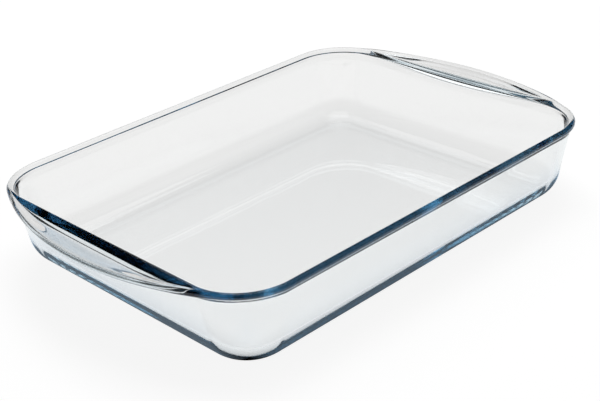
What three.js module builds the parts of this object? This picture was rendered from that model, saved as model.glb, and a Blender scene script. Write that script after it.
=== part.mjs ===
// Rectangular glass roasting dish: one pressed moulding with rounded corners, a round rim bead and a
// crescent handle flange on each short end. The solids are the regions that its mould forms: the floor,
// four walls and four corners below, and the rim ring above them, which holds both handles.
// Millimetres, +Z up, +X along the length, origin on the resting face below the middle of the dish.

import * as THREE from 'three';
import { mergeVertices } from 'three/addons/utils/BufferGeometryUtils.js';

// Driving dimensions of the bowl
const RIM_LENGTH = 354.8; // over the rim bead along X, without the handles
const RIM_WIDTH = 267; // over the rim bead along Y
const RIM_CORNER_RADIUS = 43; // plan radius of the rim's outer edge at a corner
const HEIGHT = 62; // resting face to the top of the bead
const FLOOR_THICKNESS = 6.5;
const WALL_THICKNESS = 4.6; // square to the wall
const WALL_DRAFT_DEGREES = 11; // how far the wall leans out from upright
const HEEL_RADIUS = 24; // outer round from the resting face up to the wall
const INNER_HEEL_RADIUS = 19; // inner round from the floor up to the wall

// Driving dimensions of the rim bead
const BEAD_THICKNESS = 4.9;
const BEAD_OVERHANG = 2.2; // bead's outer edge beyond the wall's outer face
const BEAD_ROOT_DEPTH = 5.2; // bead axis down to where its underside has run into the wall
const BEAD_FLARE_DEPTH = 7; // bead axis down to where the inner wall starts to flare out to it
const BEAD_INNER_END_DEGREES = 165; // where the flare meets the bead's round, from straight out

// Driving dimensions of the handles
const HANDLE_REACH = 21.4; // handle's outer edge beyond the bead, in the middle of the end
const HANDLE_EDGE_THICKNESS = 4; // of its round edge, in the middle of the end
const HANDLE_EDGE_DROP = 0.9; // bead axis down to the middle of that edge
const HANDLE_ROOT_DEPTH = 8.5; // bead axis down to where the handle's underside meets the wall
const HANDLE_ROOT_RUN = 7.5; // reach over which the underside runs down to that depth at the tips
const UNDERSIDE_TILT_DEGREES = 6.8; // of the straight part of the underside, up towards the edge
const UNDERSIDE_STRAIGHT_SHARE = 0.62; // of the underside's run from the wall to the edge
const UNDERSIDE_RISE_SHARE = 0.25; // of the bend's rise from the wall, where it still follows the wall
const UNDERSIDE_EASE_SHARE = 0.57; // of the bend's run from the wall, where it eases into the straight
const THUMB_RECESS_DEPTH = 3.8; // bead top down to the foot of the bead's outer flank
const THUMB_RECESS_RUN = 18; // reach over which the recess comes to that depth
const BEAD_FOOT_WIDTH = 7.4; // bead axis out to that foot
const SLOPE_ROUND_SHARE = 0.16; // of the slope from the foot to the edge, where it levels out at each end

// Facets
const HEEL_STEPS = 5; // half the steps in each round of the heel
const CORNER_STEPS = 12;
const HANDLE_STEPS = 20;
const UNDERSIDE_STEPS = 9;
const EDGE_STEPS = 8;
const TOP_STEPS = 20;
const FLARE_STEPS = 6;
const WELD_DISTANCE = 1e-4;

const GLASS = { color: 0xdfe9ee, roughness: 0.05, metalness: 0 };

// Profiles are drawn in (r, z), with r measured outwards from the core: the rectangle whose corners are
// the centres of the corner rounds.
const coreX = RIM_LENGTH / 2 - RIM_CORNER_RADIUS;
const coreY = RIM_WIDTH / 2 - RIM_CORNER_RADIUS;
const draft = THREE.MathUtils.degToRad(WALL_DRAFT_DEGREES);
const beadRadius = BEAD_THICKNESS / 2;
const beadR = RIM_CORNER_RADIUS - beadRadius;
const beadZ = HEIGHT - beadRadius;
const splitZ = beadZ - HANDLE_ROOT_DEPTH; // flat plane between the walls and the rim ring

function outerWallR(z) {
  return RIM_CORNER_RADIUS - BEAD_OVERHANG - (beadZ - z) * Math.tan(draft);
}

function innerWallR(z) {
  return outerWallR(z) - WALL_THICKNESS / Math.cos(draft);
}

// r of the centre of a round that is tangent to a level face and to a wall that meets it at wallR.
function roundCentreR(wallR, radius) {
  return wallR - radius * (1 - Math.sin(draft)) / Math.cos(draft);
}

// Wall, heel and the margin of the floor, up to the split plane, anticlockwise.
function wallProfile() {
  const downwards = -Math.PI / 2;
  const heelR = roundCentreR(outerWallR(0), HEEL_RADIUS);
  const innerHeelR = roundCentreR(innerWallR(FLOOR_THICKNESS), INNER_HEEL_RADIUS);
  const path = new THREE.Path();
  path.moveTo(0, 0);
  path.lineTo(heelR, 0);
  path.absarc(heelR, HEEL_RADIUS, HEEL_RADIUS, downwards, -draft, false);
  path.lineTo(outerWallR(splitZ), splitZ);
  path.lineTo(innerWallR(splitZ), splitZ);
  path.absarc(innerHeelR, FLOOR_THICKNESS + INNER_HEEL_RADIUS, INNER_HEEL_RADIUS, -draft, downwards, true);
  path.lineTo(0, FLOOR_THICKNESS);
  return withoutRepeats(path.getPoints(HEEL_STEPS));
}

// Rim above the split plane, anticlockwise. Its round edge lies reach beyond the bead: none on a plain
// rim, where the two are one round, and more on a handle, whose top dips along the bead.
function rimProfile(reach) {
  const handleShare = THREE.MathUtils.smoothstep(reach, 0, HANDLE_REACH);
  const edgeRadius = THREE.MathUtils.lerp(beadRadius, HANDLE_EDGE_THICKNESS / 2, handleShare);
  const edgeR = RIM_CORNER_RADIUS + reach - edgeRadius;
  const edgeZ = beadZ - HANDLE_EDGE_DROP * handleShare;
  const rootShare = THREE.MathUtils.smoothstep(reach, 0, HANDLE_ROOT_RUN);
  const rootZ = beadZ - THREE.MathUtils.lerp(BEAD_ROOT_DEPTH, HANDLE_ROOT_DEPTH, rootShare);
  const rootR = outerWallR(rootZ);
  const tilt = THREE.MathUtils.degToRad(UNDERSIDE_TILT_DEGREES) * handleShare;
  const edgeStart = new THREE.Vector2(Math.sin(tilt), -Math.cos(tilt)).multiplyScalar(edgeRadius);
  edgeStart.add(new THREE.Vector2(edgeR, edgeZ));
  const straight = (edgeStart.x - rootR) * UNDERSIDE_STRAIGHT_SHARE;
  const bend = new THREE.Vector2(edgeStart.x - straight, edgeStart.y - straight * Math.tan(tilt));
  const rise = (bend.y - rootZ) * UNDERSIDE_RISE_SHARE;
  const ease = (bend.x - rootR) * UNDERSIDE_EASE_SHARE;
  const underside = new THREE.Path();
  underside.moveTo(outerWallR(splitZ), splitZ);
  underside.lineTo(rootR, rootZ);
  underside.bezierCurveTo(
    rootR + rise * Math.tan(draft), rootZ + rise,
    bend.x - ease, bend.y - ease * Math.tan(tilt),
    bend.x, bend.y,
  );
  underside.lineTo(edgeStart.x, edgeStart.y);

  const edge = new THREE.Path();
  edge.absarc(edgeR, edgeZ, edgeRadius, tilt - Math.PI / 2, Math.PI / 2, false);

  const top = new THREE.Path();
  top.moveTo(edgeR, edgeZ + edgeRadius);
  const beadStart = reach > 0 ? drawThumbRecess(top, reach) : Math.PI / 2;
  const innerEnd = THREE.MathUtils.degToRad(BEAD_INNER_END_DEGREES);
  top.absarc(beadR, beadZ, beadRadius, beadStart, innerEnd, false);

  const flareTop = new THREE.Vector2(Math.cos(innerEnd), Math.sin(innerEnd)).multiplyScalar(beadRadius);
  flareTop.add(new THREE.Vector2(beadR, beadZ));
  const flareTangent = new THREE.Vector2(-Math.sin(innerEnd), Math.cos(innerEnd));
  const flareZ = beadZ - BEAD_FLARE_DEPTH;
  const flareRound = BEAD_FLARE_DEPTH / 3;
  const flare = new THREE.Path();
  flare.moveTo(flareTop.x, flareTop.y);
  flare.bezierCurveTo(
    flareTop.x + flareTangent.x * flareRound, flareTop.y + flareTangent.y * flareRound,
    innerWallR(flareZ + flareRound), flareZ + flareRound,
    innerWallR(flareZ), flareZ,
  );
  flare.lineTo(innerWallR(splitZ), splitZ);

  return [
    ...underside.getSpacedPoints(UNDERSIDE_STEPS).slice(0, -1),
    ...edge.getSpacedPoints(EDGE_STEPS).slice(0, -1),
    ...top.getSpacedPoints(TOP_STEPS).slice(0, -1),
    ...flare.getSpacedPoints(FLARE_STEPS),
  ];
}

// Top of a handle from its edge in to the bead: a gentle slope down to the recess, then a straight flank
// up to the bead. Returns the angle on the bead's round where the flank touches it.
function drawThumbRecess(top, reach) {
  const edge = top.currentPoint.clone();
  const footWidth = Math.min(BEAD_FOOT_WIDTH, (edge.x - beadR) / 2);
  const footR = beadR + footWidth;
  const footZ = HEIGHT - THUMB_RECESS_DEPTH * THREE.MathUtils.smoothstep(reach, 0, THUMB_RECESS_RUN);
  const slopeRound = (edge.x - footR) * SLOPE_ROUND_SHARE;
  top.bezierCurveTo(edge.x - slopeRound, edge.y, footR + slopeRound, footZ, footR, footZ);
  const footDistance = Math.hypot(footWidth, footZ - beadZ);
  const flankAngle = Math.atan2(footZ - beadZ, footWidth) + Math.acos(beadRadius / footDistance);
  top.lineTo(beadR + beadRadius * Math.cos(flankAngle), beadZ + beadRadius * Math.sin(flankAngle));
  return flankAngle;
}

function withoutRepeats(points) {
  return points.filter((point, i) => i === 0 || point.distanceTo(points[i - 1]) > WELD_DISTANCE);
}

// In plan each handle's edge is one arc, tangent to both corner rounds of its end.
const handleRadius =
  ((RIM_CORNER_RADIUS + HANDLE_REACH) ** 2 - RIM_CORNER_RADIUS ** 2 + coreY ** 2) / (2 * HANDLE_REACH);
const handleCentreX = coreX + RIM_CORNER_RADIUS + HANDLE_REACH - handleRadius;
const handleToCorner = new THREE.Vector2(coreX - handleCentreX, coreY);

function reachAlongEnd(y) {
  return handleCentreX + Math.sqrt(handleRadius ** 2 - y ** 2) - coreX - RIM_CORNER_RADIUS;
}

// angle turns from the X axis round a corner, where the handle's arc runs out into the corner round.
function reachRoundCorner(angle) {
  if (angle >= handleToCorner.angle()) return 0;
  const along = handleToCorner.dot(new THREE.Vector2(Math.cos(angle), Math.sin(angle)));
  const toArc = -along + Math.sqrt(along ** 2 - handleToCorner.lengthSq() + handleRadius ** 2);
  return toArc - RIM_CORNER_RADIUS;
}

// A station is a place on the core's edge, the direction that r points there and the profile drawn there.
function place({ x, y, angle }, point) {
  return [x + point.x * Math.cos(angle), y + point.x * Math.sin(angle), point.y];
}

// Closed solid through the profiles at its stations, in anticlockwise order round the dish.
function loft(stations) {
  const count = stations[0].profile.length;
  const last = (stations.length - 1) * count;
  const positions = stations.flatMap((station) => station.profile.flatMap((point) => place(station, point)));
  const triangles = [];
  for (let row = 0; row < last; row += count) {
    for (let i = 0; i < count; i += 1) {
      const next = (i + 1) % count;
      triangles.push([row + i, row + count + next, row + next]);
      triangles.push([row + i, row + count + i, row + count + next]);
    }
  }
  const [first, end] = [stations[0], stations.at(-1)];
  for (const [a, b, c] of THREE.ShapeUtils.triangulateShape(first.profile, [])) triangles.push([a, b, c]);
  for (const [a, b, c] of THREE.ShapeUtils.triangulateShape(end.profile, [])) {
    triangles.push([last + a, last + c, last + b]);
  }
  const loose = new THREE.BufferGeometry();
  loose.setAttribute('position', new THREE.Float32BufferAttribute(positions, 3));
  loose.setIndex(triangles.flat());
  return withoutSlivers(mergeVertices(loose, WELD_DISTANCE));
}

// Drops the triangles that have no area because two of their corners were welded on a corner's axis.
function withoutSlivers(geometry) {
  const index = geometry.getIndex().array;
  const kept = [];
  for (let i = 0; i < index.length; i += 3) {
    const [a, b, c] = index.slice(i, i + 3);
    if (a !== b && b !== c && c !== a) kept.push(a, b, c);
  }
  geometry.setIndex(kept);
  geometry.computeVertexNormals();
  return geometry;
}

// Stations along a straight side, from one core corner to the next.
function sideStations(from, to, angle, steps, profileAt) {
  return Array.from({ length: steps + 1 }, (_, i) => {
    const spot = new THREE.Vector2().lerpVectors(from, to, i / steps);
    return { x: spot.x, y: spot.y, angle, profile: profileAt(spot) };
  });
}

// Stations round a corner, a quarter turn from startAngle.
function cornerStations(centre, startAngle, profileAt) {
  return Array.from({ length: CORNER_STEPS + 1 }, (_, i) => {
    const angle = startAngle + (Math.PI / 2) * (i / CORNER_STEPS);
    return { x: centre.x, y: centre.y, angle, profile: profileAt(angle) };
  });
}

function angleFromLength(angle) {
  return Math.atan2(Math.abs(Math.sin(angle)), Math.abs(Math.cos(angle)));
}

const dish = new THREE.Group();

function addNode(name, geometry) {
  const mesh = new THREE.Mesh(geometry, new THREE.MeshStandardMaterial(GLASS));
  mesh.name = name;
  dish.add(mesh);
  return mesh;
}

const floor = new THREE.BoxGeometry(2 * coreX, 2 * coreY, FLOOR_THICKNESS);
addNode('floor_panel', floor).position.z = FLOOR_THICKNESS / 2;

// Sides anticlockwise from +X, each with the core corner where it starts and the corner where it ends.
const SIDES = [
  { wall: 'right_end_wall', rim: 'right_handle', corner: 'rear_right', starts: [1, -1], ends: [1, 1] },
  { wall: 'rear_wall', rim: 'rear_rim', corner: 'rear_left', starts: [1, 1], ends: [-1, 1] },
  { wall: 'left_end_wall', rim: 'left_handle', corner: 'front_left', starts: [-1, 1], ends: [-1, -1] },
  { wall: 'front_wall', rim: 'front_rim', corner: 'front_right', starts: [-1, -1], ends: [1, -1] },
];

SIDES.forEach(({ wall, rim, corner, starts, ends }, turn) => {
  const core = new THREE.Vector2(coreX, coreY);
  const from = new THREE.Vector2(...starts).multiply(core);
  const to = new THREE.Vector2(...ends).multiply(core);
  const angle = turn * (Math.PI / 2);
  const isEnd = turn % 2 === 0;
  addNode(wall, loft(sideStations(from, to, angle, 1, wallProfile)));
  addNode(`${corner}_corner`, loft(cornerStations(to, angle, wallProfile)));
  const sideRim = isEnd
    ? sideStations(from, to, angle, HANDLE_STEPS, (spot) => rimProfile(reachAlongEnd(spot.y)))
    : sideStations(from, to, angle, 1, () => rimProfile(0));
  addNode(rim, loft(sideRim));
  const cornerRim = (around) => rimProfile(reachRoundCorner(angleFromLength(around)));
  addNode(`${corner}_rim`, loft(cornerStations(to, angle, cornerRim)));
});

export default dish;
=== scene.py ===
"""Clear glass roasting dish: one continuous glass moulding on a white table.

The solids of the frame divide the moulding at flat planes. Here the same moulding is drawn as the one
unbroken skin that the real glass has, so that light passes through it without meeting those planes.
"""
import math

import bpy
import numpy as np
from mathutils import Matrix, Vector


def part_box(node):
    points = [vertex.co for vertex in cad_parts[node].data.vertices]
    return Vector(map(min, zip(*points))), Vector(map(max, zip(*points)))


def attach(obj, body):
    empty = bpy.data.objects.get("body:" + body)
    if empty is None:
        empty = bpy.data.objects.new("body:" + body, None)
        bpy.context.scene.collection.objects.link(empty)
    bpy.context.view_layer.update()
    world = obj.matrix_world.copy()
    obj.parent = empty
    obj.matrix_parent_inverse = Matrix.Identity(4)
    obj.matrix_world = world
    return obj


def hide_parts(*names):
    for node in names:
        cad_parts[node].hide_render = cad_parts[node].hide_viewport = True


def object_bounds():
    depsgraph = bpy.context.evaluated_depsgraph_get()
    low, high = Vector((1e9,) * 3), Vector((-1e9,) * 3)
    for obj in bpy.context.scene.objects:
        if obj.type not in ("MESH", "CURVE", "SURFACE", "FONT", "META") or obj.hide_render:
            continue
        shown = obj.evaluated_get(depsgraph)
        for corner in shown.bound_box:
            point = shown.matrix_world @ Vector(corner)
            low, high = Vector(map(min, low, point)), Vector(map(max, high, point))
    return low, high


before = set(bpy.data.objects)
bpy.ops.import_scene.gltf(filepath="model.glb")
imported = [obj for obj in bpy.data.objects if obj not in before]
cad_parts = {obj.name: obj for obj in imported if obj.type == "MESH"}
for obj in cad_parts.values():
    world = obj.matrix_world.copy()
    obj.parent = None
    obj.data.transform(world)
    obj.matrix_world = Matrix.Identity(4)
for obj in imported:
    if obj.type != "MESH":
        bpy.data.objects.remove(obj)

cad_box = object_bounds()

# Sizes of the glass that the frame's boxes don't give: metres, radians and shares of a run
RIM_CORNER_RADIUS = 0.043
WALL_THICKNESS = 0.0046
WALL_DRAFT = math.radians(11)
HEEL_RADIUS = 0.024
INNER_HEEL_RADIUS = 0.019
BEAD_THICKNESS = 0.0049
BEAD_OVERHANG = 0.0022
BEAD_ROOT_DEPTH = 0.0052
BEAD_FLARE_DEPTH = 0.007
BEAD_INNER_END = math.radians(165)
HANDLE_EDGE_THICKNESS = 0.004
HANDLE_EDGE_DROP = 0.0009
HANDLE_ROOT_DEPTH = 0.0085
HANDLE_ROOT_RUN = 0.0075
UNDERSIDE_TILT = math.radians(6.8)
UNDERSIDE_STRAIGHT_SHARE = 0.62
UNDERSIDE_RISE_SHARE = 0.25
UNDERSIDE_EASE_SHARE = 0.57
THUMB_RECESS_DEPTH = 0.0038
THUMB_RECESS_RUN = 0.018
BEAD_FOOT_WIDTH = 0.0074
BEAD_FOOT_ROUND = 0.0004
SLOPE_ROUND_SHARE = 0.16

# Sizes read from the frame. The core is the rectangle of the corners' centres: the dish's section is carried
# round it, and r is the distance outwards from it
floor_low, floor_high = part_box("floor_panel")
cad_high = cad_box[1]
FLOOR_THICKNESS = floor_high[2] - floor_low[2]
HEIGHT = cad_high[2]
CORE_Y = cad_high[1] - RIM_CORNER_RADIUS
CORE_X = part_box("rear_rim")[1][0]
RIM_X = CORE_X + RIM_CORNER_RADIUS
HANDLE_REACH = cad_high[0] - RIM_X

# How finely the skin is drawn: stations along its sides, rows of its section, the rim's densities in the
# order of its curves, and the shares of the way out from the floor's middle at which it has a row
END_STATIONS = 84
SIDE_STATIONS = 18
CORNER_STATIONS = 40
RIM_ROWS = 124
RIM_DENSITIES = {"flare": 2.0, "bead": 6.0, "flank": 2.0, "foot": 14.0, "thumb_recess": 1.4, "edge": 6.0,
                 "underside": 1.0, "bend": 2.4}
CURVE_SAMPLES = 60
SHORTEST_STEP = 1e-12
HEEL_ROWS = 24
WALL_ROWS = 8
FLOOR_SHARES = (0.25, 0.5, 0.75, 0.92)

# Camera fitted to the photo: metres, radians and millimetres
CAMERA_PLACE = (-0.55698, -0.60114, HEIGHT + 0.37084)
CAMERA_AZIMUTH = math.radians(-42.76)
CAMERA_ELEVATION = math.radians(26.81)
CAMERA_ROLL = math.radians(-3.96)
CAMERA_LENS_MM = 75.68
CAMERA_SENSOR_MM = 36

# Glass: its refractive index, the colour that its depth lets through and the density with which it absorbs
# the rest, its uneven polish, and the faint waves left by the mould
GLASS_IOR = 1.47
GLASS_ABSORPTION_COLOUR = (0.18, 0.6, 0.8, 1)
GLASS_ABSORPTION_DENSITY = 7.5
POLISH_SCALE = 60
POLISH_DETAIL = 3
POLISH_ROUGHNESS = (0.0, 0.02)
WAVE_SCALE = 28
WAVE_DETAIL = 1
WAVE_STRENGTH = 0.08
WAVE_HEIGHT = 0.0004

# Table: half its side, how far it lies below the resting face, its colour, the levels of its own glow for the
# camera near the dish and far from it with the run between them, and the painted light and shade that it
# shows through the glass and first mirrored in it, as colours by the distance beyond the core in metres
TABLE_HALF_SIDE = 4.0
TABLE_DROP = 0.0003
TABLE_COLOUR = (0.5, 0.5, 0.5, 1)
TABLE_LEVEL_CAMERA = (0.9, 1.0)
TABLE_CAMERA_RUN = (0.6, 1.8)
# Painted light and shade seen through the glass: brightest below the dish, a painted shadow just beyond its
# base
TABLE_PAINTED_LIGHT_THROUGH_GLASS = {0.0: (1, 0.986, 0.974), 0.015: (0.86, 0.848, 0.838), 0.07: (0.91, 0.897, 0.886)}
# Painted reflection of the table: a painted shadow below the dish, a painted cool tint beside it, white
# farther out
TABLE_MIRRORED_PAINTED_SHADE = {0.018: (0, 0, 0), 0.04: (0.6, 0.8, 1), 0.06: (1, 1, 1)}

# Light: each lamp's place, size and watts, the surround's levels by the height of a direction (the z of its
# unit vector), and how often light is followed from one surface to the next
LAMPS = {
    "overhead": ((0.3, 0.2, 1.5), 1.0, 4.2),
    "key": ((0.97, -0.65, 1.09), 0.8, 0.6),
    "back": ((0.42, 0.98, 1.2), 0.5, 1)}
SURROUND_LEVELS = {0.03: 1, 0.25: 0.012}
LIGHT_BOUNCES = 32

# The centre and radius of the bead's section, and how far the wall leans out per height
BEAD_RADIUS = BEAD_THICKNESS / 2
BEAD_CENTRE_R = RIM_CORNER_RADIUS - BEAD_RADIUS
BEAD_CENTRE_Z = HEIGHT - BEAD_RADIUS
SLANT = math.tan(WALL_DRAFT)


def outer_wall_r(z):
    """Outer face of the drafted wall: a straight line leaning outwards by the draft angle."""
    return RIM_CORNER_RADIUS - BEAD_OVERHANG - (BEAD_CENTRE_Z - z) * SLANT


def inner_wall_r(z):
    """Inner face of the drafted wall: the outer line moved inwards by the wall thickness."""
    return outer_wall_r(z) - WALL_THICKNESS / math.cos(WALL_DRAFT)


def smoothstep(value, end):
    """Share from 0 to 1 as the value goes from 0 to the end, level at both: 3t^2 - 2t^3."""
    t = np.clip(value / end, 0, 1)
    return t * t * (3 - 2 * t)


def bezier(points, count):
    """Cubic curve for every station from four points (each r, z): the Bernstein sum of the points."""
    t = np.linspace(0, 1, count)[None, :, None]
    a, b, c, d = (np.stack(np.broadcast_arrays(*point), axis=-1)[:, None, :] for point in points)
    return a * (1 - t) ** 3 + 3 * b * t * (1 - t) ** 2 + 3 * c * t ** 2 * (1 - t) + d * t ** 3


def straight(start, end, count):
    """Straight run for every station from the start to the end (each r, z): their weighted mean."""
    share = np.linspace(0, 1, count)[None, :, None]
    a, b = (np.stack(point, axis=-1)[:, None, :] for point in (start, end))
    return a * (1 - share) + b * share


def arc(centre_r, centre_z, radius, start, end, count):
    """Circular arc for every station: centre plus radius times (cos, sin) of an even run of angles."""
    angle = np.linspace(start, end, count, axis=-1)
    r = centre_r[:, None] + radius[:, None] * np.cos(angle)
    z = centre_z[:, None] + radius[:, None] * np.sin(angle)
    return np.stack([r, z], axis=-1)


def resample(curves, densities, rows):
    """Rows spaced evenly by weighted length: the running sum of step length times each curve's density,
    cut into equal shares, with straight interpolation between the samples."""
    line = np.concatenate(curves, axis=1)
    weights = np.concatenate([np.full(curve.shape[1], density) for curve, density in zip(curves, densities)])
    steps = np.linalg.norm(np.diff(line, axis=1), axis=2) * weights[1:]
    run = np.concatenate([np.zeros((len(line), 1)), np.cumsum(steps, axis=1)], axis=1)
    wanted = np.linspace(0, 1, rows)[None, :] * run[:, -1:]
    after = np.clip((run[:, None, :] <= wanted[:, :, None]).sum(axis=2), 1, run.shape[1] - 1)
    low, high = np.take_along_axis(run, after - 1, 1), np.take_along_axis(run, after, 1)
    share = ((wanted - low) / np.maximum(high - low, SHORTEST_STEP))[..., None]
    first = np.take_along_axis(line, (after - 1)[..., None], 1)
    second = np.take_along_axis(line, after[..., None], 1)
    return first + (second - first) * np.clip(share, 0, 1)


def rim_rows(reach):
    """Rim section for every station as r, z: from the inner wall up a flare to the round bead, over it,
    down its straight flank and up the thumb recess to the handle's edge where the handle reaches out,
    round that edge and back along the underside to the outer wall. Where the reach is 0 it is the bead.
    The flank is the tangent from its foot to the bead's circle. A plain number becomes one for every
    station by adding the array of zeros."""
    zeros = np.zeros_like(reach)
    handle_share = smoothstep(reach, HANDLE_REACH)
    edge_radius = BEAD_RADIUS + (HANDLE_EDGE_THICKNESS / 2 - BEAD_RADIUS) * handle_share
    edge_r = RIM_CORNER_RADIUS + reach - edge_radius
    edge_z = BEAD_CENTRE_Z - HANDLE_EDGE_DROP * handle_share
    root_share = smoothstep(reach, HANDLE_ROOT_RUN)
    root_z = BEAD_CENTRE_Z - BEAD_ROOT_DEPTH - (HANDLE_ROOT_DEPTH - BEAD_ROOT_DEPTH) * root_share
    root_r = outer_wall_r(root_z)
    tilt = UNDERSIDE_TILT * handle_share
    edge_low_r, edge_low_z = edge_r + edge_radius * np.sin(tilt), edge_z - edge_radius * np.cos(tilt)
    straight_run = (edge_low_r - root_r) * UNDERSIDE_STRAIGHT_SHARE
    bend_r, bend_z = edge_low_r - straight_run, edge_low_z - straight_run * np.tan(tilt)
    rise = (bend_z - root_z) * UNDERSIDE_RISE_SHARE
    ease = (bend_r - root_r) * UNDERSIDE_EASE_SHARE
    foot_width = np.minimum(BEAD_FOOT_WIDTH, (edge_r - BEAD_CENTRE_R) / 2)
    foot_r = BEAD_CENTRE_R + foot_width
    foot_z = HEIGHT - THUMB_RECESS_DEPTH * smoothstep(reach, THUMB_RECESS_RUN)
    foot_distance = np.hypot(foot_width, foot_z - BEAD_CENTRE_Z)
    foot_angle = np.arctan2(foot_z - BEAD_CENTRE_Z, foot_width)
    flank_angle = foot_angle + np.arccos(np.minimum(BEAD_RADIUS / foot_distance, 1))
    foot_round = BEAD_FOOT_ROUND * foot_width / BEAD_FOOT_WIDTH
    slope_round = (edge_r - foot_r) * SLOPE_ROUND_SHARE

    flare_z = BEAD_CENTRE_Z - BEAD_FLARE_DEPTH
    flare_r = inner_wall_r(flare_z)
    flare_round = BEAD_FLARE_DEPTH / 3
    bead_end_r = BEAD_CENTRE_R + BEAD_RADIUS * math.cos(BEAD_INNER_END)
    bead_end_z = BEAD_CENTRE_Z + BEAD_RADIUS * math.sin(BEAD_INNER_END)
    flare = bezier([
        (zeros + flare_r, zeros + flare_z),
        (zeros + flare_r + flare_round * SLANT, zeros + flare_z + flare_round),
        (zeros + bead_end_r - flare_round * math.sin(BEAD_INNER_END),
         zeros + bead_end_z + flare_round * math.cos(BEAD_INNER_END)),
        (zeros + bead_end_r, zeros + bead_end_z)], CURVE_SAMPLES)
    bead = arc(zeros + BEAD_CENTRE_R, zeros + BEAD_CENTRE_Z, zeros + BEAD_RADIUS,
               zeros + BEAD_INNER_END, flank_angle, CURVE_SAMPLES)
    flank_r = BEAD_CENTRE_R + BEAD_RADIUS * np.cos(flank_angle)
    flank_z = BEAD_CENTRE_Z + BEAD_RADIUS * np.sin(flank_angle)
    above_r = foot_r - foot_round * np.sin(flank_angle)
    above_z = foot_z + foot_round * np.cos(flank_angle)
    flank = straight((flank_r, flank_z), (above_r, above_z), CURVE_SAMPLES)
    foot = bezier([
        (above_r, above_z), (foot_r, foot_z), (foot_r, foot_z), (foot_r + foot_round, foot_z)], CURVE_SAMPLES)
    thumb_recess = bezier([
        (foot_r + foot_round, foot_z),
        (foot_r + slope_round, foot_z),
        (edge_r - slope_round, edge_z + edge_radius),
        (edge_r, edge_z + edge_radius)], CURVE_SAMPLES)
    edge = arc(edge_r, edge_z, edge_radius, zeros + math.pi / 2, tilt - math.pi / 2, 2 * CURVE_SAMPLES)
    underside = straight((edge_low_r, edge_low_z), (bend_r, bend_z), CURVE_SAMPLES)
    bend = bezier([
        (bend_r, bend_z),
        (bend_r - ease, bend_z - ease * np.tan(tilt)),
        (root_r + rise * SLANT, root_z + rise),
        (root_r, root_z)], CURVE_SAMPLES)
    curves = [flare, bead, flank, foot, thumb_recess, edge, underside, bend]
    return resample(curves, RIM_DENSITIES.values(), RIM_ROWS)


def heel_rows(wall_r, base_z, radius, count):
    """Round between a level floor and the drafted wall: an arc of the given radius touching both."""
    centre_r = wall_r - radius * (1 - math.sin(WALL_DRAFT)) / math.cos(WALL_DRAFT)
    angle = np.linspace(-math.pi / 2, -WALL_DRAFT, count)
    return np.stack([centre_r + radius * np.cos(angle), base_z + radius + radius * np.sin(angle)], axis=-1)


def perimeter():
    """Stations round the dish as core x, core y, turn of the outward direction and reach of the handle.
    Each handle's edge is one arc that touches both corner rounds, so its reach falls to 0 along them. The
    second half of the way round is the first one turned by half a turn."""
    radius = (((RIM_CORNER_RADIUS + HANDLE_REACH) ** 2 - RIM_CORNER_RADIUS ** 2 + CORE_Y ** 2)
              / (2 * HANDLE_REACH))
    centre_x = RIM_X + HANDLE_REACH - radius
    to_corner = np.array([CORE_X - centre_x, CORE_Y])

    def side(x, y, turn, reach):
        """Stations as rows of x, y, turn and reach, each of them a number or an array."""
        return np.stack(np.broadcast_arrays(x, y, turn, reach), axis=1)

    def corner_reach(turn):
        """Length of the ray from the corner's centre out to the handle's arc, by the root of a quadratic,
        less the corner radius. It is 0 past the turn at which the arc touches the corner round."""
        along = to_corner[0] * np.cos(turn) + to_corner[1] * np.sin(turn)
        to_arc = np.sqrt(np.maximum(along ** 2 - to_corner @ to_corner + radius ** 2, 0)) - along
        return np.where(turn < math.atan2(to_corner[1], to_corner[0]), to_arc - RIM_CORNER_RADIUS, 0)

    quarter = math.pi / 2
    end_y = np.linspace(-CORE_Y, CORE_Y, END_STATIONS, endpoint=False)
    turn = np.linspace(0, quarter, CORNER_STATIONS, endpoint=False)
    side_x = np.linspace(CORE_X, -CORE_X, SIDE_STATIONS, endpoint=False)
    half = np.concatenate([
        side(CORE_X, end_y, 0, centre_x + np.sqrt(radius ** 2 - end_y ** 2) - RIM_X),
        side(CORE_X, CORE_Y, turn, corner_reach(turn)),
        side(side_x, CORE_Y, quarter, 0),
        side(-CORE_X, CORE_Y, quarter + turn, corner_reach(quarter - turn))])
    return np.concatenate([half, half * [-1, -1, 1, 1] + [0, 0, math.pi, 0]])


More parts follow.
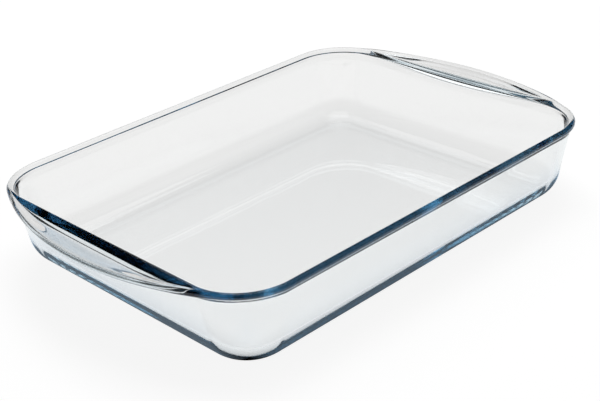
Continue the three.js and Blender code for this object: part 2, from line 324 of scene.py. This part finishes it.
def dish_skin():
    """The whole glass skin as a closed grid: stations round the perimeter by rows of the section, from
    the middle of the inner floor out to the inner heel, up the inner wall, over the rim, down the outer
    wall and heel, and back to the middle of the resting face. A row is core point + r * direction."""
    stations = perimeter()
    start, turn, reach = stations[:, :2], stations[:, 2], stations[:, 3]
    outward = np.stack([np.cos(turn), np.sin(turn)], 1)

    inner_heel = heel_rows(inner_wall_r(FLOOR_THICKNESS), FLOOR_THICKNESS, INNER_HEEL_RADIUS, HEEL_ROWS)
    rim = rim_rows(reach)
    outer_heel = heel_rows(outer_wall_r(0), 0, HEEL_RADIUS, HEEL_ROWS)[::-1]
    climb = np.linspace(0, 1, WALL_ROWS)[1:-1, None]
    inner_wall = inner_heel[-1] + (rim[0, 0] - inner_heel[-1]) * climb
    outer_wall = rim[:, -1:] + (outer_heel[0] - rim[:, -1:]) * climb

    count = len(stations)
    section = np.concatenate([
        np.broadcast_to(inner_heel, (count,) + inner_heel.shape),
        np.broadcast_to(inner_wall, (count,) + inner_wall.shape),
        rim, outer_wall,
        np.broadcast_to(outer_heel, (count,) + outer_heel.shape)], axis=1)
    plan = start[:, None, :] + outward[:, None, :] * section[..., :1]
    rows = np.concatenate([plan, section[..., 1:]], axis=2)

    share = np.array(FLOOR_SHARES)[None, :, None]
    shrink = np.concatenate([share, share, np.ones_like(share)], axis=2)
    inner_floor = rows[:, :1] * shrink
    base = rows[:, -1:] * shrink
    grid = np.concatenate([inner_floor, rows, base[:, ::-1]], axis=1)

    row_count = grid.shape[1]
    points = np.concatenate([grid.reshape(-1, 3), [[0, 0, FLOOR_THICKNESS], [0, 0, 0]]])
    i = np.arange(count)[:, None]
    j = np.arange(row_count - 1)[None, :]
    here, beside = i * row_count + j, (i + 1) % count * row_count + j
    quads = np.stack([here, here + 1, beside + 1, beside], axis=-1).reshape(-1, 4)
    first, second = i[:, 0] * row_count, (i[:, 0] + 1) % count * row_count
    inner_fan = np.stack([np.full(count, len(points) - 2), first, second], 1)
    base_fan = np.stack([np.full(count, len(points) - 1), second + row_count - 1, first + row_count - 1], 1)
    return points, quads, np.concatenate([inner_fan, base_fan])


def glass_piece(name, points, quads, triangles):
    """Mesh object at the origin from the points and faces, shaded smooth."""
    mesh = bpy.data.meshes.new(name)
    corners = np.concatenate([quads.ravel(), triangles.ravel()])
    sizes = np.concatenate([np.full(len(quads), 4), np.full(len(triangles), 3)])
    mesh.vertices.add(len(points))
    mesh.loops.add(len(corners))
    mesh.polygons.add(len(sizes))
    mesh.vertices.foreach_set("co", points.ravel())
    mesh.loops.foreach_set("vertex_index", corners)
    mesh.polygons.foreach_set("loop_start", np.concatenate([[0], np.cumsum(sizes)[:-1]]))
    mesh.polygons.foreach_set("use_smooth", np.ones(len(sizes), dtype=bool))
    mesh.update(calc_edges=True)
    mesh.validate()
    piece = bpy.data.objects.new(name, mesh)
    bpy.context.scene.collection.objects.link(piece)
    return piece


def math_node(nodes, links, operation, *inputs):
    """Math node whose inputs are numbers or the outputs of other nodes. Returns its own output."""
    node = nodes.new("ShaderNodeMath")
    node.operation = operation
    for socket, value in zip(node.inputs, inputs):
        if isinstance(value, (int, float)):
            socket.default_value = value
        else:
            links.new(value, socket)
    return node.outputs[0]


def map_node(nodes, links, value, source, target):
    """Smooth step of a value from one range of numbers to another. Returns its output."""
    node = nodes.new("ShaderNodeMapRange")
    node.interpolation_type = "SMOOTHSTEP"
    node.inputs["From Min"].default_value, node.inputs["From Max"].default_value = source
    node.inputs["To Min"].default_value, node.inputs["To Max"].default_value = target
    links.new(value, node.inputs["Value"])
    return node.outputs["Result"]


def beyond_core(nodes, links, place):
    """How far a place lies outside the core rectangle that the dish's section is carried round: the larger
    of |x| - core x and |y| - core y. Returns its output."""
    along = math_node(nodes, links, "ABSOLUTE", place.outputs["X"])
    across = math_node(nodes, links, "ABSOLUTE", place.outputs["Y"])
    return math_node(nodes, links, "MAXIMUM", math_node(nodes, links, "SUBTRACT", along, CORE_X),
                     math_node(nodes, links, "SUBTRACT", across, CORE_Y))


def distance_ramp(nodes, links, distance, colours):
    """Colour that runs straight from one stop to the next by a distance in metres, and is held beyond the
    first and the last. Returns its output."""
    reach = max(colours)
    ramp = nodes.new("ShaderNodeValToRGB")
    stops = ramp.color_ramp.elements
    for place in list(colours)[1:-1]:
        stops.new(place / reach)
    for stop, (place, colour) in zip(stops, colours.items()):
        stop.position = place / reach
        stop.color = (*colour, 1)
    links.new(math_node(nodes, links, "DIVIDE", distance, reach), ramp.inputs["Fac"])
    return ramp.outputs["Color"]


def clear_glass():
    """Clear pressed glass: full transmission, a blue cast that grows with the path through the glass,
    slightly uneven polish and a faint waviness from the mould."""
    material = bpy.data.materials.new("clear_glass")
    material.use_nodes = True
    nodes, links = material.node_tree.nodes, material.node_tree.links
    shader = nodes["Principled BSDF"]
    shader.inputs["Base Color"].default_value = (1, 1, 1, 1)
    shader.inputs["IOR"].default_value = GLASS_IOR
    shader.inputs["Transmission Weight"].default_value = 1
    place = nodes.new("ShaderNodeTexCoord")
    polish = nodes.new("ShaderNodeTexNoise")
    polish.inputs["Scale"].default_value = POLISH_SCALE
    polish.inputs["Detail"].default_value = POLISH_DETAIL
    links.new(place.outputs["Object"], polish.inputs["Vector"])
    roughness = nodes.new("ShaderNodeMapRange")
    roughness.inputs["To Min"].default_value, roughness.inputs["To Max"].default_value = POLISH_ROUGHNESS
    links.new(polish.outputs["Fac"], roughness.inputs["Value"])
    links.new(roughness.outputs["Result"], shader.inputs["Roughness"])
    wave = nodes.new("ShaderNodeTexNoise")
    wave.inputs["Scale"].default_value = WAVE_SCALE
    wave.inputs["Detail"].default_value = WAVE_DETAIL
    links.new(place.outputs["Object"], wave.inputs["Vector"])
    bump = nodes.new("ShaderNodeBump")
    bump.inputs["Strength"].default_value = WAVE_STRENGTH
    bump.inputs["Distance"].default_value = WAVE_HEIGHT
    links.new(wave.outputs["Fac"], bump.inputs["Height"])
    links.new(bump.outputs["Normal"], shader.inputs["Normal"])
    absorption = nodes.new("ShaderNodeVolumeAbsorption")
    absorption.inputs["Color"].default_value = GLASS_ABSORPTION_COLOUR
    absorption.inputs["Density"].default_value = GLASS_ABSORPTION_DENSITY
    links.new(absorption.outputs["Volume"], nodes["Material Output"].inputs["Volume"])
    return material


def white_table():
    """Matt white table top. The camera sees it lit and shadowed, with a glow of its own that rises to white
    far from the dish. Through the glass it shows painted light and shade: brightest below the dish, with a
    painted shadow just beyond the base. Where the glass mirrors it first, a painted shadow makes it dark
    below the dish, a painted cool tint lies beside it, and it is white farther out."""
    mesh = bpy.data.meshes.new("table")
    half = TABLE_HALF_SIDE
    corners = [(-half, -half, 0), (half, -half, 0), (half, half, 0), (-half, half, 0)]
    mesh.from_pydata(corners, [], [(0, 1, 2, 3)])
    table = bpy.data.objects.new("table", mesh)
    table.location.z = -TABLE_DROP
    bpy.context.scene.collection.objects.link(table)
    material = bpy.data.materials.new("white_table")
    material.use_nodes = True
    nodes, links = material.node_tree.nodes, material.node_tree.links
    nodes.remove(nodes["Principled BSDF"])
    ray = nodes.new("ShaderNodeLightPath")
    place = nodes.new("ShaderNodeTexCoord")
    split = nodes.new("ShaderNodeSeparateXYZ")
    links.new(place.outputs["Object"], split.inputs[0])

    from_base = beyond_core(nodes, links, split)
    # Painted light and painted shadow on the table as seen through the glass, by the distance beyond the core
    through = distance_ramp(nodes, links, from_base, TABLE_PAINTED_LIGHT_THROUGH_GLASS)
    # Painted reflection of the table in the glass: a painted shadow below the dish and a painted cool tint
    # beside it
    mirrored = distance_ramp(nodes, links, from_base, TABLE_MIRRORED_PAINTED_SHADE)
    not_through = math_node(nodes, links, "SUBTRACT", 1.0, ray.outputs["Is Transmission Ray"])
    first_mirror = math_node(nodes, links, "MULTIPLY", ray.outputs["Is Glossy Ray"], not_through)
    in_glass = nodes.new("ShaderNodeAddShader")
    for socket, colour, strength in zip(in_glass.inputs, (through, mirrored),
                                        (ray.outputs["Is Transmission Ray"], first_mirror)):
        glass_glow = nodes.new("ShaderNodeEmission")
        links.new(colour, glass_glow.inputs["Color"])
        links.new(strength, glass_glow.inputs["Strength"])
        links.new(glass_glow.outputs[0], socket)

    matt = nodes.new("ShaderNodeBsdfDiffuse")
    matt.inputs["Color"].default_value = TABLE_COLOUR
    from_middle = nodes.new("ShaderNodeVectorMath")
    from_middle.operation = "LENGTH"
    links.new(place.outputs["Object"], from_middle.inputs[0])
    glow = nodes.new("ShaderNodeEmission")
    level = map_node(nodes, links, from_middle.outputs["Value"], TABLE_CAMERA_RUN, TABLE_LEVEL_CAMERA)
    links.new(level, glow.inputs["Strength"])
    lit = nodes.new("ShaderNodeAddShader")
    links.new(matt.outputs[0], lit.inputs[0])
    links.new(glow.outputs[0], lit.inputs[1])
    seen = nodes.new("ShaderNodeMixShader")
    links.new(ray.outputs["Is Camera Ray"], seen.inputs["Fac"])
    links.new(in_glass.outputs[0], seen.inputs[1])
    links.new(lit.outputs[0], seen.inputs[2])
    links.new(seen.outputs[0], nodes["Material Output"].inputs["Surface"])
    mesh.materials.append(material)


def studio():
    """Three soft square lamps, overhead, to the right of the front and behind, and a dark surround above a
    pale horizon."""
    for name, (place, size, watts) in LAMPS.items():
        lamp = bpy.data.lights.new(name, "AREA")
        lamp.size = size
        lamp.energy = watts
        lamp_object = bpy.data.objects.new(name, lamp)
        lamp_object.location = place
        lamp_object.rotation_euler = Vector(place).to_track_quat("Z", "Y").to_euler()
        bpy.context.scene.collection.objects.link(lamp_object)

    world = bpy.data.worlds.new("studio")
    bpy.context.scene.world = world
    world.use_nodes = True
    nodes, links = world.node_tree.nodes, world.node_tree.links
    place = nodes.new("ShaderNodeTexCoord")
    split = nodes.new("ShaderNodeSeparateXYZ")
    links.new(place.outputs["Generated"], split.inputs[0])
    ramp = nodes.new("ShaderNodeValToRGB")
    for stop, (height, level) in zip(ramp.color_ramp.elements, SURROUND_LEVELS.items()):
        stop.position = height
        stop.color = (level, level, level, 1)
    links.new(split.outputs["Z"], ramp.inputs["Fac"])
    links.new(ramp.outputs["Color"], nodes["Background"].inputs["Color"])


def camera():
    """Camera at the place, heading, tilt and roll that were fitted to the photo. Its right, up and back
    directions are the columns of its pose."""
    heading, tilt, roll = CAMERA_AZIMUTH, CAMERA_ELEVATION, CAMERA_ROLL
    back = np.array([math.sin(heading) * math.cos(tilt), -math.cos(heading) * math.cos(tilt), math.sin(tilt)])
    right = np.array([math.cos(heading), math.sin(heading), 0])
    up = np.cross(back, right)
    rolled_right = right * math.cos(roll) + up * math.sin(roll)
    rolled_up = up * math.cos(roll) - right * math.sin(roll)
    data = bpy.data.cameras.new("camera")
    data.sensor_width = CAMERA_SENSOR_MM
    data.lens = CAMERA_LENS_MM
    view = bpy.data.objects.new("camera", data)
    pose = np.eye(4)
    pose[:3, :3] = np.stack([rolled_right, rolled_up, back], axis=1)
    pose[:3, 3] = CAMERA_PLACE
    view.matrix_world = Matrix(pose.tolist())
    bpy.context.scene.collection.objects.link(view)
    bpy.context.scene.camera = view


dish = glass_piece("dish", *dish_skin())
dish.data.materials.append(clear_glass())
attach(dish, "root")
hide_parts("floor_panel", "right_end_wall", "rear_wall", "left_end_wall", "front_wall",
            "rear_right_corner", "rear_left_corner", "front_left_corner", "front_right_corner",
            "right_handle", "left_handle", "rear_rim", "front_rim",
            "rear_right_rim", "rear_left_rim", "front_left_rim", "front_right_rim")

white_table()
studio()
camera()
scene = bpy.context.scene
scene.view_settings.view_transform = "Standard"
scene.cycles.max_bounces = LIGHT_BOUNCES
scene.cycles.transmission_bounces = LIGHT_BOUNCES
scene.cycles.glossy_bounces = LIGHT_BOUNCES
scene.cycles.caustics_refractive = False
scene.cycles.caustics_reflective = False
